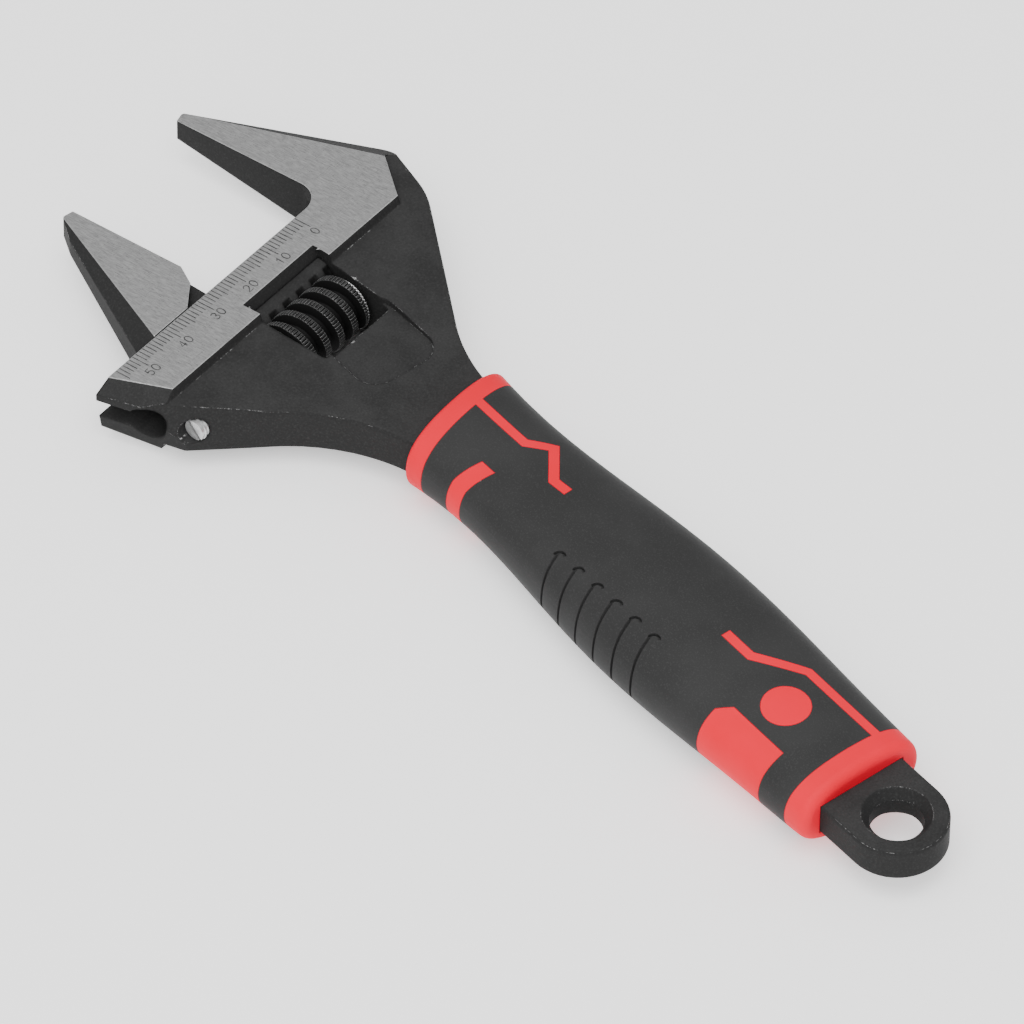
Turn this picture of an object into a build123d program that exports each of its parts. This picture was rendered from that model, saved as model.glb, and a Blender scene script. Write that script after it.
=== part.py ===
"""Wide-opening adjustable wrench: forged body, sliding jaw on a rack, worm drive and a two-colour grip.

The origin is the centre of the hang hole on the middle plane. X runs along the handle to the head, Y points
to the sliding jaw's side and Z out of the face with the scale. The head has its own axes: u from the fixed
jaw's face in the opening direction, v from the bar's mouth edge towards the handle.
"""
import os
from math import ceil, copysign, cos, floor, hypot, pi, radians, sin, tan

from build123d import *

os.makedirs("parts", exist_ok=True)

# Head: place, angle, fixed jaw and bar
HEAD_X = 197.2
HEAD_Y = -16.4
HEAD_ANGLE = 12.0
JAW_REACH = 38.1
REST_OPENING = 33.0
MOUTH_HALF = 5.95
LAND_SLOPE = 0.0893
BAR_WIDTH = 12.5
BAR_LENGTH = 69.9
FRONT_LAND_END = 66.0
FRONT_LAND_LEAN = 0.383
FRONT_END_DEPTH = 1.9
UNDER_LAND_END = 68.5
UNDER_LAND_LEAN = 0.29
UNDER_END_DEPTH = 8.0
ROOT_RADIUS = 5.5
TIP_WIDTH = 2.4
TIP_SLANT = 0.6
TIP_RADIUS = 0.8
BACK_U = -20.0
BACK_V = 1.2
BACK_RADIUS = 5.0
BACK_LAND_U = -15.9
BACK_LAND_V = 2.6
SHOULDER_LAND_U = -8.4
SHOULDER_LAND_LEAN = 0.8
BACK_DEPTH = 2.5
FOOT_WIDTH = 0.8

# Black forging behind the ground land
HEAD_HALF = 5.2
NECK_HALF = 4.6
TANG_HALF = 3.7
SHANK_RADIUS = 10.3
HEAD_FLAT_X = 160.0
NECK_X = 138.0
TANG_X = 20.0
SHOULDER_U = -14.5
SHOULDER_V = 15.3
SHOULDER_RADIUS = 20.0
NECK_RIGHT_X = 144.4
NECK_RIGHT_RADIUS = 40.0
NECK_LEFT_X = 143.8
NECK_LEFT_RADIUS = 43.0
HEEL_U = 65.3
HEEL_V = 16.7
HEEL_RADIUS = 6.0
RIDGE_U = 59.0
RIDGE_V = 20.7
RIDGE_LEAN = 0.7
RIDGE_DRAFT = 0.39
RIDGE_LENGTH = 36.0
RIM_RADIUS = 0.8
HOLE_RADIUS = 5.3
HOLE_RIM_RADIUS = 6.95
HOLE_THROAT = 3.3

# Keyhole channel and the rail that slides in it
BORE_V = 10.3
BORE_RADIUS = 4.0
RUN_CLEARANCE = 0.1
SLOT_HALF = 2.4
SLOT_END_U = 0.2
WEB_SETBACK = 0.5
WEB_LENGTH = 20.0
RAIL_FRONT = 23.0
RAIL_BACK = 24.0

# Worm, pin, spring and their window
WINDOW_U0 = 12.8
WINDOW_U1 = 34.5
WINDOW_V0 = 9.4
WINDOW_V1 = 29.4
WINDOW_SKEW = 1.8
WINDOW_RADIUS = 1.0
WINDOW_LIP_V = 8.0
WINDOW_LIP_Z = 3.7
WORM_V = 18.7
WORM_RADIUS = 6.6
WORM_LENGTH = 18.4
WORM_END_GAP = 0.2
PITCH = 4.15
THREAD_PHASE = 2.1
CREST_WIDTH = 1.7
FLANK_ANGLE = 10.0
MESH_CLEARANCE = 0.2
TIP_CLEARANCE = 0.3
PIN_RADIUS = 1.9
PIN_FIT = 0.05
PIN_FOOT_U = 6.0
PIN_HEAD_U = 62.2
PIN_HEAD_RADIUS = 2.3
PIN_HEAD_ROOM = 0.25
PIN_HEAD_LENGTH = 10.0
PIN_SLOT_WIDTH = 0.8
PIN_SLOT_DEPTH = 1.1
PIN_SLOT_ANGLE = 40.0
SPRING_WIRE = 0.6
SPRING_RADIUS = 2.65
SPRING_TURNS = 4.5
SPRING_POCKET_DEPTH = 7.0
SPRING_CLEARANCE = 0.25

# Thumb recess beside the window, a ramp that falls towards the worm
RECESS_X = 149.0
RECESS_LENGTH = 21.0
RECESS_Y = 0.4
RECESS_WIDTH = 18.4
RECESS_DEPTH = 0.9
RECESS_FALL = 2.2
RECESS_RADIUS = 5.0

# Sliding jaw
FACE_GAP = 0.35
JAW_SHORT = 0.6
JAW_BASE = 23.0
JAW_BASE_LAND = 18.6
JAW_DEPTH = 3.0
JAW_NOSE_U = 6.3
JAW_NOSE_V = -32.9
JAW_NOSE_LAND = 4.6
JAW_INDEX = 8.5
RELIEF_HEIGHT = 9.2
RELIEF_U = 2.6
RELIEF_V = -4.6

# Grip: (x, y of the middle, half width, half thickness) at stations along the handle, and its ends
GRIP_STATIONS = [
    (8.0, -0.3, 14.5, 7.9),
    (35.0, -0.3, 16.0, 8.6),
    (55.0, -0.3, 17.1, 9.3),
    (85.0, -0.4, 16.3, 9.2),
    (117.0, -0.3, 13.9, 8.1),
    (128.0, 0.1, 14.3, 8.4),
    (142.0, 0.7, 16.1, 9.0),
]
GRIP_REAR_X = 10.4
GRIP_FRONT_X = 135.0
GRIP_SLANT = 12.0
GRIP_SQUARENESS = 2.5
GRIP_POINTS = 16
GRIP_FRONT_RIM = 1.0
GRIP_REAR_RIM = 2.2
GRIP_FIT = 0.05
REAR_COLLAR = 5.3
FRONT_COLLAR = 4.7

# Coloured inlays and finger ribs of the grip
INLAY_DEPTH = 1.2
STRIPE_WIDTH = 2.2
FRONT_STRIPE = [(132.0, -3.2), (117.0, -3.4), (112.7, -7.3), (105.3, -1.2), (101.1, -1.4)]
REAR_STRIPE = [(15.0, -7.7), (35.6, -7.7), (45.2, -1.1), (52.7, -1.05)]
BAND_X = 118.2
BAND_WIDTH = 4.0
BAND_TIP_Y = 6.0
BAND_TIP_LEAN = 1.6
BLOCK_X0 = 23.0
BLOCK_X1 = 40.4
BLOCK_Y = 9.1
BLOCK_CORNER = 2.6
DOT_RADIUS = 5.0
DOT_X = 31.3
DOT_Y = 1.6
RIB_COUNT = 6
RIB_X = 90.8
RIB_PITCH = 5.78
RIB_WIDTH = 0.6
RIB_DEPTH = 0.7
RIB_BOW = 2.5
RIB_HALF = 8.5
RIB_Y = 9.8
HOOK_RISE = 0.75
HOOK_LENGTH = 2.2

# Values that follow from the dimensions above
BEYOND = 2 * HEAD_X
TURN = radians(HEAD_ANGLE)
HEAD = Plane(origin=(HEAD_X, HEAD_Y, 0), x_dir=(-sin(TURN), cos(TURN), 0), z_dir=(0, 0, 1))
JAW = Plane(origin=HEAD.from_local_coords((REST_OPENING, 0, 0)), x_dir=HEAD.x_dir, z_dir=(0, 0, 1))
HEAD_SIDE = Plane(origin=HEAD.origin, x_dir=HEAD.y_dir, z_dir=HEAD.x_dir)
TIP_V = -JAW_REACH - TIP_SLANT
RAIL_RADIUS = BORE_RADIUS - RUN_CLEARANCE
WEB_HALF = SLOT_HALF - RUN_CLEARANCE
WORM_U = WINDOW_U1 - WORM_END_GAP - WORM_LENGTH
WORM_TOP_V = WORM_V - WORM_RADIUS
WORM_ROOT = WORM_V - BORE_V - RAIL_RADIUS - TIP_CLEARANCE
LEAD_SLOPE = PITCH / (pi * (WORM_RADIUS + WORM_ROOT))
FLANK = tan(radians(FLANK_ANGLE))
GROOVE_HALF = CREST_WIDTH / 2 + MESH_CLEARANCE
SPRING_OUTER = SPRING_RADIUS + SPRING_WIRE / 2
LIP_SLOPE = hypot(WINDOW_V0 - WINDOW_LIP_V, MOUTH_HALF + LAND_SLOPE * WINDOW_LIP_V - WINDOW_LIP_Z)
WINDOW = [
    (WINDOW_U0, WINDOW_V0),
    (WINDOW_U1, WINDOW_V0),
    (WINDOW_U1, WINDOW_V1),
    (WINDOW_U0 + WINDOW_SKEW, WINDOW_V1),
]


def on_head(u, v):
    """Plan point of the head coordinates u and v."""
    spot = HEAD.from_local_coords((u, v, 0))
    return (spot.X, spot.Y)


def across(plane, u, v):
    """Plane square to the u direction at u, v: its normal is along u and its x points to the mouth."""
    return Plane(origin=plane.from_local_coords((u, v, 0)), x_dir=-plane.y_dir, z_dir=plane.x_dir)


def land_half(v):
    """Half thickness of the ground wedge at v."""
    return MOUTH_HALF + LAND_SLOPE * v


def strip(points):
    """Closed profile that mirrors (position, half height) points about the middle plane."""
    return points + [(place, -half) for place, half in reversed(points)]


def bevel(plane, *points):
    """Plane through three (u, v, z) points, the first two along its edge, that faces away from the middle."""
    corner, along, low = (plane.from_local_coords(point) for point in points)
    normal = (along - corner).cross(low - corner)
    outward = normal if normal.Z * corner.Z > 0 else -normal
    return Plane(origin=corner, x_dir=along - corner, z_dir=outward)


def bevel_pair(plane, *points):
    """The same bevel on the front face and on the back."""
    return [bevel(plane, *((u, v, side * z) for u, v, z in points)) for side in (1, -1)]


def shank_profile(extra=0.0):
    """Side view of the black forging, grown by extra on each face."""
    return strip([
        (-BEYOND, TANG_HALF + extra),
        (TANG_X, TANG_HALF + extra),
        (NECK_X, NECK_HALF + extra),
        (HEAD_FLAT_X, HEAD_HALF + extra),
        (BEYOND, HEAD_HALF + extra),
    ])


def wedge_profile():
    """Side view of both jaws, which thin towards their tips, and the sloped foot behind the bar."""
    faces = [(v, land_half(v)) for v in (TIP_V - TIP_WIDTH, BAR_WIDTH)]
    return strip(faces + [(BAR_WIDTH + FOOT_WIDTH, HEAD_HALF)])


# Plan of the whole forged body, jaw included
with BuildSketch() as plan:
    with BuildLine():
        FilletPolyline(
            (0, -SHANK_RADIUS),
            (NECK_RIGHT_X, -SHANK_RADIUS),
            on_head(SHOULDER_U, SHOULDER_V),
            on_head(BACK_U, BACK_V),
            on_head(-TIP_WIDTH, TIP_V),
            on_head(0, -JAW_REACH),
            on_head(0, 0),
            on_head(BAR_LENGTH, 0),
            on_head(HEEL_U, HEEL_V),
            (NECK_LEFT_X, SHANK_RADIUS),
            (0, SHANK_RADIUS),
            radius=[
                NECK_RIGHT_RADIUS, SHOULDER_RADIUS, BACK_RADIUS, TIP_RADIUS, 0,
                ROOT_RADIUS, 0, HEEL_RADIUS, NECK_LEFT_RADIUS,
            ],
        )
        ThreePointArc((0, SHANK_RADIUS), (-SHANK_RADIUS, 0), (0, -SHANK_RADIUS))
    make_face()

# Black forging: head behind the mouth edge, neck and tang, with rounded rims
with BuildPart() as forging:
    with BuildSketch():
        add(plan.sketch)
        with BuildLine():
            Polyline(
                on_head(-BEYOND, 0),
                on_head(BEYOND, 0),
                on_head(BEYOND, BEYOND),
                on_head(-BEYOND, BEYOND),
                close=True,
            )
        make_face(mode=Mode.INTERSECT)
    extrude(amount=BAR_WIDTH, both=True)
    with BuildSketch(Plane.XZ):
        with BuildLine():
            Polyline(*shank_profile(), close=True)
        make_face()
    extrude(amount=BEYOND, both=True, mode=Mode.INTERSECT)
    walls = forging.faces().filter_by(lambda face: abs(face.normal_at().Z) < 0.01)
    mouth_wall = walls.sort_by(lambda face: HEAD.to_local_coords(face.center()).Y)[0]
    outer_walls = walls - ShapeList([mouth_wall])
    rims = outer_walls.edges().filter_by(lambda edge: abs(edge.center().Z) > TANG_HALF / 2)
    fillet(rims - mouth_wall.edges(), radius=RIM_RADIUS)

# Ground wedge that carries the fixed jaw and the bar
with BuildPart() as wedge:
    with BuildSketch():
        add(plan.sketch)
        with BuildLine():
            Polyline(
                on_head(SHOULDER_LAND_U, BAR_WIDTH + FOOT_WIDTH),
                on_head(SHOULDER_LAND_U, BAR_WIDTH),
                on_head(SHOULDER_LAND_U - SHOULDER_LAND_LEAN * (BAR_WIDTH - BACK_LAND_V), BACK_LAND_V),
                on_head(-BEYOND, BACK_LAND_V),
                on_head(-BEYOND, -BEYOND),
                on_head(BEYOND, -BEYOND),
                on_head(BEYOND, BAR_WIDTH + FOOT_WIDTH),
                close=True,
            )
        make_face(mode=Mode.INTERSECT)
    extrude(amount=BAR_WIDTH, both=True)
    with BuildSketch(HEAD_SIDE):
        with BuildLine():
            Polyline(*wedge_profile(), close=True)
        make_face()
    extrude(amount=BEYOND, both=True, mode=Mode.INTERSECT)

# Body: forging and wedge in one piece, bevelled, with the channel, window, pin bore, recesses and hang hole
back_bevels = bevel_pair(
    HEAD,
    (-TIP_WIDTH, TIP_V, land_half(TIP_V)),
    (BACK_LAND_U, BACK_LAND_V, land_half(BACK_LAND_V)),
    (BACK_U, BACK_V, land_half(BACK_V) - BACK_DEPTH),
)
front_end_bevel = bevel(
    HEAD,
    (FRONT_LAND_END, 0, MOUTH_HALF),
    (FRONT_LAND_END - FRONT_LAND_LEAN * BAR_WIDTH, BAR_WIDTH, land_half(BAR_WIDTH)),
    (BAR_LENGTH, 0, MOUTH_HALF - FRONT_END_DEPTH),
)
under_end_bevel = bevel(
    HEAD,
    (UNDER_LAND_END, 0, -MOUTH_HALF),
    (UNDER_LAND_END - UNDER_LAND_LEAN * BAR_WIDTH, BAR_WIDTH, -land_half(BAR_WIDTH)),
    (BAR_LENGTH, 0, UNDER_END_DEPTH - MOUTH_HALF),
)
ridge_bevel = bevel(
    HEAD,
    (RIDGE_U, RIDGE_V, HEAD_HALF),
    (RIDGE_U - RIDGE_LEAN * RIDGE_V, 2 * RIDGE_V, HEAD_HALF),
    (RIDGE_U + RIDGE_DRAFT * HEAD_HALF, RIDGE_V, 0),
)
window_lips = bevel_pair(
    HEAD,
    (WINDOW_U0, WINDOW_LIP_V, land_half(WINDOW_LIP_V)),
    (WINDOW_U1, WINDOW_LIP_V, land_half(WINDOW_LIP_V)),
    (WINDOW_U0, WINDOW_V0, WINDOW_LIP_Z),
)
with BuildPart() as body:
    add(forging.part)
    add(wedge.part)
    for cut in back_bevels + [front_end_bevel, under_end_bevel]:
        with BuildSketch(cut):
            Rectangle(3 * JAW_REACH, 3 * JAW_REACH)
        extrude(amount=JAW_REACH, mode=Mode.SUBTRACT)
    with BuildSketch(ridge_bevel):
        Rectangle(RIDGE_LENGTH, 3 * JAW_REACH)
    extrude(amount=JAW_REACH, mode=Mode.SUBTRACT)
    with BuildSketch(HEAD):
        with BuildLine():
            Polyline(
                (SLOT_END_U, -JAW_REACH),
                (BEYOND, -JAW_REACH),
                (BEYOND, BORE_V),
                (SLOT_END_U, BORE_V),
                close=True,
            )
        make_face()
    extrude(amount=SLOT_HALF, both=True, mode=Mode.SUBTRACT)
    with BuildSketch(across(HEAD, 0, BORE_V)):
        Circle(BORE_RADIUS)
    extrude(amount=BEYOND, both=True, mode=Mode.SUBTRACT)
    with BuildSketch(HEAD):
        with BuildLine():
            FilletPolyline(*WINDOW, radius=WINDOW_RADIUS, close=True)
        make_face()
    extrude(amount=BAR_WIDTH, both=True, mode=Mode.SUBTRACT)
    for lip in window_lips:
        with BuildSketch(lip):
            with Locations(((WINDOW_U1 - WINDOW_U0) / 2, 0)):
                Rectangle(WINDOW_U1 - WINDOW_U0, 2 * LIP_SLOPE)
        extrude(amount=WINDOW_V0 - WINDOW_LIP_V, mode=Mode.SUBTRACT)
    with BuildSketch(across(HEAD, PIN_FOOT_U, WORM_V)):
        Circle(PIN_RADIUS + PIN_FIT)
    extrude(amount=BEYOND, mode=Mode.SUBTRACT)
    with BuildSketch(across(HEAD, PIN_HEAD_U - PIN_HEAD_LENGTH, WORM_V)):
        Circle(PIN_HEAD_RADIUS + PIN_HEAD_ROOM)
    extrude(amount=BEYOND, mode=Mode.SUBTRACT)
    for side in (1, -1):
        fall = radians(RECESS_FALL)
        ramp = Plane(
            origin=(RECESS_X, RECESS_Y, side * (HEAD_HALF - RECESS_DEPTH)),
            x_dir=(cos(fall), 0, -side * sin(fall)),
            z_dir=(sin(fall), 0, side * cos(fall)),
        )
        with BuildSketch(ramp):
            with Locations((RECESS_LENGTH / 2, 0)):
                RectangleRounded(RECESS_LENGTH, RECESS_WIDTH, RECESS_RADIUS)
        extrude(amount=BAR_WIDTH, mode=Mode.SUBTRACT)
    Hole(HOLE_RADIUS)
    for tilt in (0, 180):
        with Locations(Rotation(tilt, 0, 0) * Location((0, 0, HOLE_THROAT / 2))):
            Cone(
                HOLE_RADIUS, HOLE_RIM_RADIUS, TANG_HALF - HOLE_THROAT / 2,
                align=(Align.CENTER, Align.CENTER, Align.MIN), mode=Mode.SUBTRACT,
            )
body.part.label = "body"
export_step(body.part, "parts/body.step")

# Sliding jaw: wedge-shaped jaw, web through the slot and a round rail with rack teeth
jaw_bevels = bevel_pair(
    JAW,
    (JAW_NOSE_LAND, JAW_NOSE_V, land_half(JAW_NOSE_V)),
    (JAW_BASE_LAND, -FACE_GAP, land_half(-FACE_GAP)),
    (JAW_BASE, -FACE_GAP, land_half(-FACE_GAP) - JAW_DEPTH),
)
first_groove = WORM_U + THREAD_PHASE - REST_OPENING
groove_numbers = range(
    floor((-RAIL_FRONT - first_groove) / PITCH), ceil((RAIL_BACK - first_groove) / PITCH) + 1
)
with BuildPart() as sliding_jaw:
    with BuildSketch(JAW):
        with BuildLine():
            FilletPolyline(
                (0, -RELIEF_HEIGHT),
                (0, JAW_SHORT - JAW_REACH),
                (TIP_WIDTH, JAW_SHORT + TIP_V),
                (JAW_NOSE_U, JAW_NOSE_V),
                (JAW_BASE, -FACE_GAP),
                (JAW_INDEX, -FACE_GAP),
                (RELIEF_U, RELIEF_V),
                radius=[0, 0, TIP_RADIUS, ROOT_RADIUS, 0, 0, 0],
                close=True,
            )
        make_face()
    extrude(amount=BAR_WIDTH, both=True)
    with BuildSketch(HEAD_SIDE):
        with BuildLine():
            Polyline(*wedge_profile(), close=True)
        make_face()
    extrude(amount=BEYOND, both=True, mode=Mode.INTERSECT)
    for cut in jaw_bevels:
        split(bisect_by=cut, keep=Keep.BOTTOM)
    with BuildSketch(JAW):
        with BuildLine():
            Polyline(
                (WEB_SETBACK, -RELIEF_HEIGHT),
                (JAW_INDEX, -RELIEF_HEIGHT),
                (WEB_LENGTH, -FACE_GAP),
                (WEB_LENGTH, BORE_V),
                (WEB_SETBACK, BORE_V),
                close=True,
            )
        make_face()
    extrude(amount=WEB_HALF, both=True)
    with BuildSketch(across(JAW, -RAIL_FRONT, BORE_V)):
        Circle(RAIL_RADIUS)
    extrude(amount=RAIL_FRONT + RAIL_BACK)
    for number in groove_numbers:
        groove = Plane(
            origin=JAW.from_local_coords((first_groove + number * PITCH, WORM_TOP_V, 0)),
            x_dir=JAW.x_dir + JAW.z_dir * LEAD_SLOPE,
            z_dir=JAW.z_dir - JAW.x_dir * LEAD_SLOPE,
        )
        with BuildSketch(groove):
            with BuildLine():
                Polyline(
                    (-GROOVE_HALF, -TIP_CLEARANCE),
                    (GROOVE_HALF, -TIP_CLEARANCE),
                    (GROOVE_HALF + FLANK * WORM_RADIUS, WORM_RADIUS),
                    (-GROOVE_HALF - FLANK * WORM_RADIUS, WORM_RADIUS),
                    close=True,
                )
            make_face()
        extrude(amount=BORE_RADIUS, both=True, mode=Mode.SUBTRACT)
sliding_jaw.part.label = "sliding_jaw"
export_step(sliding_jaw.part, "parts/sliding_jaw.step")

# Worm: a right-handed thread on a core, bored for the pin and pocketed for the spring
worm_axis = across(HEAD, WORM_U, WORM_V)
worm_end = across(HEAD, WORM_U + WORM_LENGTH, WORM_V)
thread_start = THREAD_PHASE - 2 * PITCH
thread_path = worm_axis * Pos(0, 0, thread_start) * Helix(PITCH, WORM_LENGTH + 4 * PITCH, WORM_ROOT)
thread_profile = Plane(origin=thread_path @ 0, x_dir=worm_axis.x_dir, z_dir=(0, 0, 1))
with BuildPart() as worm:
    with BuildSketch(thread_profile):
        with BuildLine():
            Polyline(
                (-TIP_CLEARANCE, -CREST_WIDTH / 2 - FLANK * (WORM_RADIUS - WORM_ROOT + TIP_CLEARANCE)),
                (WORM_RADIUS - WORM_ROOT, -CREST_WIDTH / 2),
                (WORM_RADIUS - WORM_ROOT, CREST_WIDTH / 2),
                (-TIP_CLEARANCE, CREST_WIDTH / 2 + FLANK * (WORM_RADIUS - WORM_ROOT + TIP_CLEARANCE)),
                close=True,
            )
        make_face()
    sweep(path=thread_path, is_frenet=True)
    split(bisect_by=worm_axis, keep=Keep.TOP)
    split(bisect_by=worm_end, keep=Keep.BOTTOM)
    with BuildSketch(worm_axis):
        Circle(WORM_ROOT)
    extrude(amount=WORM_LENGTH)
    with BuildSketch(worm_axis):
        Circle(PIN_RADIUS + PIN_FIT)
    extrude(amount=WORM_LENGTH, mode=Mode.SUBTRACT)
    with BuildSketch(worm_axis):
        Circle(SPRING_OUTER + SPRING_CLEARANCE)
    extrude(amount=SPRING_POCKET_DEPTH, mode=Mode.SUBTRACT)
worm.part.label = "worm"
export_step(worm.part, "parts/worm.step")

# Pin the worm turns on, with a slotted head at the end of the bar
with BuildPart() as worm_pin:
    with BuildSketch(across(HEAD, PIN_FOOT_U, WORM_V)):
        Circle(PIN_RADIUS)
    extrude(amount=PIN_HEAD_U - PIN_FOOT_U)
    with BuildSketch(across(HEAD, PIN_HEAD_U, WORM_V)):
        Circle(PIN_HEAD_RADIUS)
    extrude(amount=-PIN_HEAD_LENGTH)
    with BuildSketch(across(HEAD, PIN_HEAD_U, WORM_V)):
        Rectangle(PIN_SLOT_WIDTH, 3 * PIN_HEAD_RADIUS, rotation=PIN_SLOT_ANGLE)
    extrude(amount=-PIN_SLOT_DEPTH, mode=Mode.SUBTRACT)
worm_pin.part.label = "worm_pin"
export_step(worm_pin.part, "parts/worm_pin.step")

# Spring between the window wall and the bottom of the worm's pocket
wall_u = WINDOW_U0 + WINDOW_SKEW * (WORM_V + SPRING_OUTER - WINDOW_V0) / (WINDOW_V1 - WINDOW_V0)
spring_start = wall_u - WORM_U + SPRING_WIRE / 2 + PIN_FIT
spring_end = SPRING_POCKET_DEPTH - SPRING_WIRE / 2 - PIN_FIT
spring_pitch = (spring_end - spring_start) / SPRING_TURNS
spring_helix = Helix(spring_pitch, spring_end - spring_start, SPRING_RADIUS)
spring_path = worm_axis * Pos(0, 0, spring_start) * spring_helix
with BuildPart() as worm_spring:
    with BuildSketch(Plane(origin=spring_path @ 0, z_dir=spring_path % 0)):
        Circle(SPRING_WIRE / 2)
    sweep(path=spring_path, is_frenet=True)
worm_spring.part.label = "worm_spring"
export_step(worm_spring.part, "parts/worm_spring.step")

# Least gap between the spring's turns, measured on points along the wire
SAMPLES = 24
wire_points = [
    spring_path @ (number / (SPRING_TURNS * SAMPLES)) for number in range(int(SPRING_TURNS * SAMPLES) + 1)
]
wire_gap = min(
    (wire_points[first] - wire_points[second]).length - SPRING_WIRE
    for first in range(len(wire_points))
    for second in range(first + SAMPLES // 2, len(wire_points))
)
print("least gap between turns of the spring, mm:", round(wire_gap, 2))


def grip_loft(inset):
    """Grip without its end cuts, drawn in by inset: a loft through squarish ovals."""
    with BuildPart() as form:
        for x, middle_y, half_width, half_thickness in GRIP_STATIONS:
            points = []
            for index in range(GRIP_POINTS):
                turn = 2 * pi * (index + 0.5) / GRIP_POINTS
                y_part = copysign(abs(cos(turn)) ** (2 / GRIP_SQUARENESS), cos(turn))
                z_part = copysign(abs(sin(turn)) ** (2 / GRIP_SQUARENESS), sin(turn))
                points.append((y_part * (half_width - inset), z_part * (half_thickness - inset)))
            with BuildSketch(Plane(origin=(x, middle_y, 0), x_dir=(0, 1, 0), z_dir=(1, 0, 0))):
                with BuildLine():
                    Spline(*points, periodic=True)
                make_face()
        loft()
    return form.part


# Whole grip with its end cuts and rounded rims, the base of every grip piece
slant = (cos(radians(GRIP_SLANT)), sin(radians(GRIP_SLANT)), 0)
rear_cut = Plane(origin=(GRIP_REAR_X, 0, 0), z_dir=(1, 0, 0))
front_cut = Plane(origin=(GRIP_FRONT_X, 0, 0), z_dir=slant)
rear_seam = Plane(origin=(GRIP_REAR_X + REAR_COLLAR, 0, 0), z_dir=(1, 0, 0))
front_seam = Plane(origin=(GRIP_FRONT_X - FRONT_COLLAR, 0, 0), z_dir=slant)
grip_blank = grip_loft(0)
grip_core = grip_loft(INLAY_DEPTH)
with BuildPart() as grip_form:
    add(grip_blank)
    split(bisect_by=rear_cut, keep=Keep.TOP)
    split(bisect_by=front_cut, keep=Keep.BOTTOM)
    rear_end = grip_form.faces().filter_by(GeomType.PLANE).sort_by(Axis.X)[0]
    fillet(rear_end.edges(), radius=GRIP_REAR_RIM)
    front_end = grip_form.faces().filter_by(GeomType.PLANE).sort_by(Axis.X)[-1]
    fillet(front_end.edges(), radius=GRIP_FRONT_RIM)

# Outer layer of the grip that the coloured inlays fill, and the room for the tang
with BuildPart() as grip_skin:
    add(grip_form.part)
    add(grip_core, mode=Mode.SUBTRACT)
with BuildPart() as tang_room:
    with BuildSketch():
        add(plan.sketch)
        offset(amount=GRIP_FIT)
    extrude(amount=BAR_WIDTH, both=True)
    with BuildSketch(Plane.XZ):
        with BuildLine():
            Polyline(*shank_profile(GRIP_FIT), close=True)
        make_face()
    extrude(amount=BEYOND, both=True, mode=Mode.INTERSECT)

# Collars: full rings at both ends, each with its zigzag stripe on both faces
with BuildPart() as front_stripe:
    with BuildSketch():
        with BuildLine():
            Polyline(*FRONT_STRIPE)
        trace(line_width=STRIPE_WIDTH)
    extrude(amount=BAR_WIDTH, both=True)
    add(grip_skin.part, mode=Mode.INTERSECT)
with BuildPart() as front_collar:
    add(grip_form.part)
    split(bisect_by=front_seam, keep=Keep.TOP)
    add(front_stripe.part)
    add(tang_room.part, mode=Mode.SUBTRACT)
front_collar.part.label = "front_collar"
export_step(front_collar.part, "parts/front_collar.step")

with BuildPart() as rear_stripe:
    with BuildSketch():
        with BuildLine():
            Polyline(*REAR_STRIPE)
        trace(line_width=STRIPE_WIDTH)
    extrude(amount=BAR_WIDTH, both=True)
    add(grip_skin.part, mode=Mode.INTERSECT)
with BuildPart() as rear_collar:
    add(grip_form.part)
    split(bisect_by=rear_seam, keep=Keep.BOTTOM)
    add(rear_stripe.part)
    add(tang_room.part, mode=Mode.SUBTRACT)
rear_collar.part.label = "rear_collar"
export_step(rear_collar.part, "parts/rear_collar.step")

# Band and block that wrap the side next to the fingers
with BuildPart() as front_band:
    with BuildSketch():
        with BuildLine():
            Polyline(
                (BAND_X + BAND_WIDTH / 2 - BAND_TIP_LEAN, BAND_TIP_Y),
                (BAND_X + BAND_WIDTH / 2, 2 * BAND_TIP_Y),
                (BAND_X + BAND_WIDTH / 2, BEYOND),
                (BAND_X - BAND_WIDTH / 2, BEYOND),
                (BAND_X - BAND_WIDTH / 2, 2 * BAND_TIP_Y),
                (BAND_X - BAND_WIDTH / 2 - BAND_TIP_LEAN, BAND_TIP_Y),
                close=True,
            )
        make_face()
    extrude(amount=BAR_WIDTH, both=True)
    add(grip_skin.part, mode=Mode.INTERSECT)
front_band.part.label = "front_band"
export_step(front_band.part, "parts/front_band.step")

with BuildPart() as side_block:
    with BuildSketch():
        with BuildLine():
            Polyline(
                (BLOCK_X0, BLOCK_Y),
                (BLOCK_X1 - BLOCK_CORNER, BLOCK_Y),
                (BLOCK_X1, BLOCK_Y + BLOCK_CORNER),
                (BLOCK_X1, BEYOND),
                (BLOCK_X0, BEYOND),
                close=True,
            )
        make_face()
    extrude(amount=BAR_WIDTH, both=True)
    add(grip_skin.part, mode=Mode.INTERSECT)
side_block.part.label = "side_block"
export_step(side_block.part, "parts/side_block.step")

# Round inlays, one on each face
with BuildPart() as grip_dot_front:
    with BuildSketch():
        with Locations((DOT_X, DOT_Y)):
            Circle(DOT_RADIUS)
    extrude(amount=BAR_WIDTH)
    add(grip_skin.part, mode=Mode.INTERSECT)
grip_dot_front.part.label = "grip_dot_front"
export_step(grip_dot_front.part, "parts/grip_dot_front.step")

with BuildPart() as grip_dot_back:
    with BuildSketch():
        with Locations((DOT_X, DOT_Y)):
            Circle(DOT_RADIUS)
    extrude(amount=-BAR_WIDTH)
    add(grip_skin.part, mode=Mode.INTERSECT)
grip_dot_back.part.label = "grip_dot_back"
export_step(grip_dot_back.part, "parts/grip_dot_back.step")

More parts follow.
